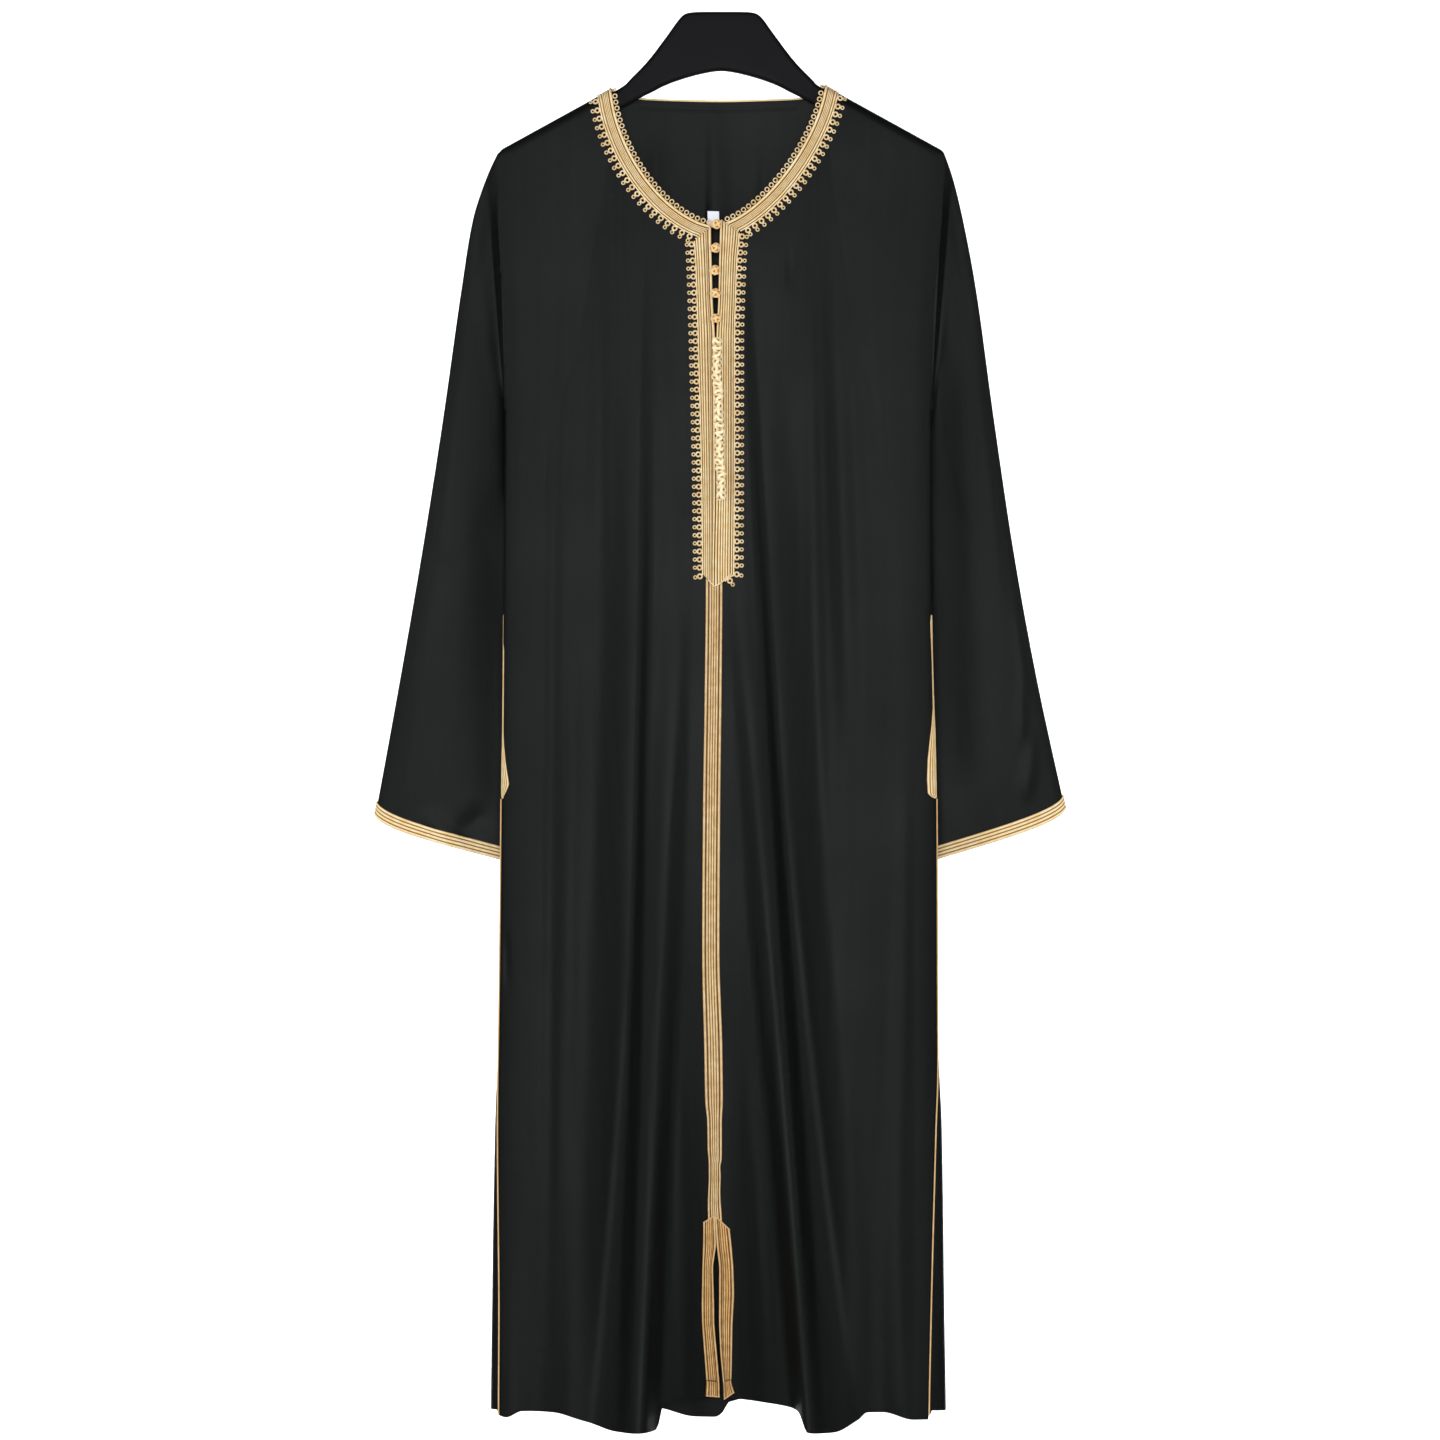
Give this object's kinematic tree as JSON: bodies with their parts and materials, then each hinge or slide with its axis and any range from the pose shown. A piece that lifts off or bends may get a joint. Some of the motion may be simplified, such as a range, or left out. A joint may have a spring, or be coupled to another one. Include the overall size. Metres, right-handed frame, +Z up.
{
  "type": "thobe on a hanger",
  "caption": "Long dark robe with wide sleeves hanging flat on a shoulder hanger, with gold braid at neck, placket, front, pockets, hem slit and cuffs.",
  "frame": {"origin": "middle of the hanger's top, where it is held; the whole robe hangs below it", "axes": "+Z up along the robe, +X towards the robe's right sleeve as seen from the front, +Y from the front to the back, so the front faces -Y"},
  "size_m": [0.6683, 0.1066, 1.3591],
  "materials": {
    "cloth": "near-black satin weave, soft broad sheen",
    "braid": "woven gold thread braid and cord, soft metallic",
    "knots": "tightly woven gold thread knots, satin",
    "label": "white woven tape, matte",
    "hanger": "black moulded plastic, satin"
  },
  "bodies": {
    "root": {"front_left": "cloth", "front_right": "cloth", "back": "cloth", "sleeve_left_front": "cloth", "sleeve_left_back": "cloth", "sleeve_right_front": "cloth", "sleeve_right_back": "cloth", "neck_braid_left": "braid", "neck_picots_left": "braid", "neck_scallops_left": "braid", "placket_braid_left": "braid", "placket_scallops_left": "braid", "hem_slit_braid_left": "braid", "pocket_braid_front_left": "braid", "pocket_braid_back_left": "braid", "side_piping_left": "braid", "cuff_braid_left": "braid", "neck_braid_right": "braid", "neck_picots_right": "braid", "neck_scallops_right": "braid", "placket_braid_right": "braid", "placket_scallops_right": "braid", "hem_slit_braid_right": "braid", "pocket_braid_front_right": "braid", "pocket_braid_back_right": "braid", "side_piping_right": "braid", "cuff_braid_right": "braid", "neck_braid_back": "braid", "neck_facing_back": "cloth", "front_braid": "braid", "knot_column": "knots", "size_label": "label", "hanger": "hanger", "button_1": "knots", "button_2": "knots", "button_3": "knots", "button_4": "knots", "button_5": "knots"}
  },
  "joints": []
}
